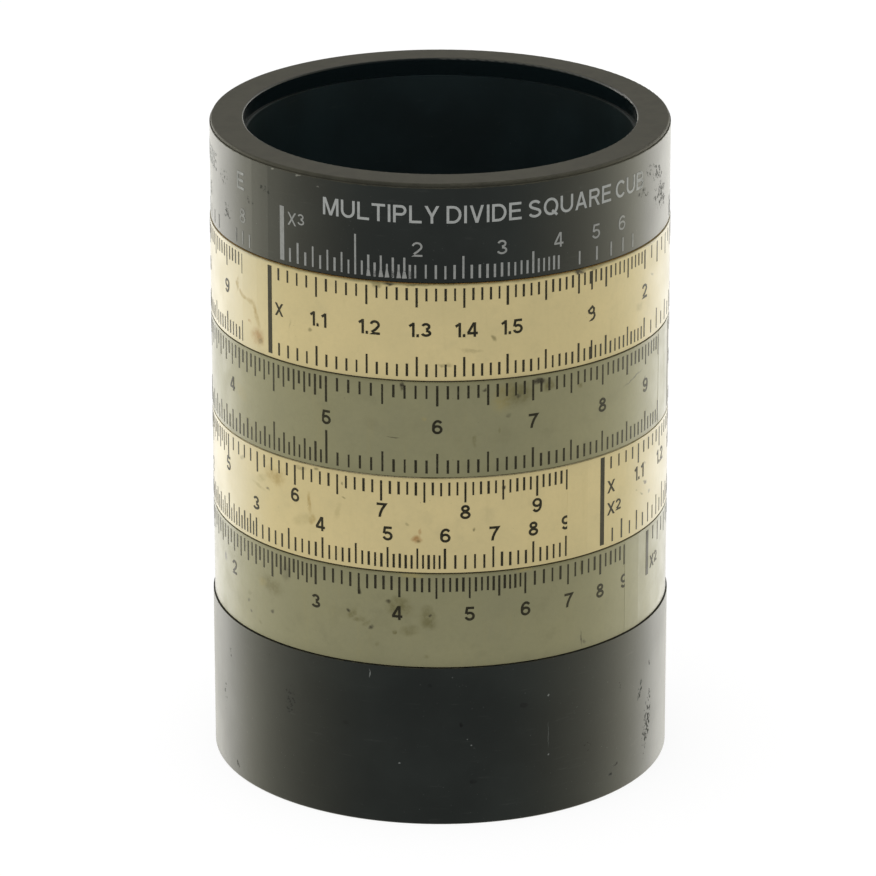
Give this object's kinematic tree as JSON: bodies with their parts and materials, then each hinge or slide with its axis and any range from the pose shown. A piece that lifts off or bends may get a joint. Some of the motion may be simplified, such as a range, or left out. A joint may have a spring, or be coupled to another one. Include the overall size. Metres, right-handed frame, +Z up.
{
  "type": "cylindrical slide rule",
  "caption": "Hand-held cylindrical slide rule with printed logarithmic rings that turn on a core tube between a top collar and a base sleeve.",
  "frame": {"origin": "centre of the base's lower face", "axes": "+Z up along the tube's axis, front of the scales towards -Y"},
  "size_m": [0.0604, 0.0604, 0.0872],
  "materials": {
    "core_plastic": "satin black tube",
    "black_plastic": "semi-gloss black tube, lightly scuffed",
    "black_film": "semi-gloss black printed film",
    "ring_plastic": "dark ring, edges stained brown",
    "cream_film": "aged cream printed film, semi-gloss",
    "grey_film": "aged olive grey printed film, semi-gloss",
    "dark_ink": "dark printed marks",
    "white_ink": "white printed marks"
  },
  "bodies": {
    "core": {"core_tube": "core_plastic", "top_collar": "black_plastic", "base_sleeve": "black_plastic", "collar_film": "black_film"},
    "ring_1": {"scale_ring_1": "ring_plastic", "scale_film_1": "cream_film"},
    "ring_2": {"scale_ring_2": "ring_plastic", "scale_film_2": "grey_film"},
    "ring_3": {"scale_ring_3": "ring_plastic", "scale_film_3": "cream_film"},
    "ring_4": {"scale_ring_4": "ring_plastic", "scale_film_4": "grey_film"}
  },
  "joints": [
    {"name": "ring_1_turn", "type": "hinge", "parent": "core", "child": "ring_1", "pos_m": [0, 0, 0.06756], "axis": [0, 0, 1], "continuous": true},
    {"name": "ring_2_turn", "type": "hinge", "parent": "core", "child": "ring_2", "pos_m": [0, 0, 0.05454], "axis": [0, 0, 1], "continuous": true},
    {"name": "ring_3_turn", "type": "hinge", "parent": "core", "child": "ring_3", "pos_m": [0, 0, 0.04152], "axis": [0, 0, 1], "continuous": true},
    {"name": "ring_4_turn", "type": "hinge", "parent": "core", "child": "ring_4", "pos_m": [0, 0, 0.0285], "axis": [0, 0, 1], "continuous": true}
  ]
}
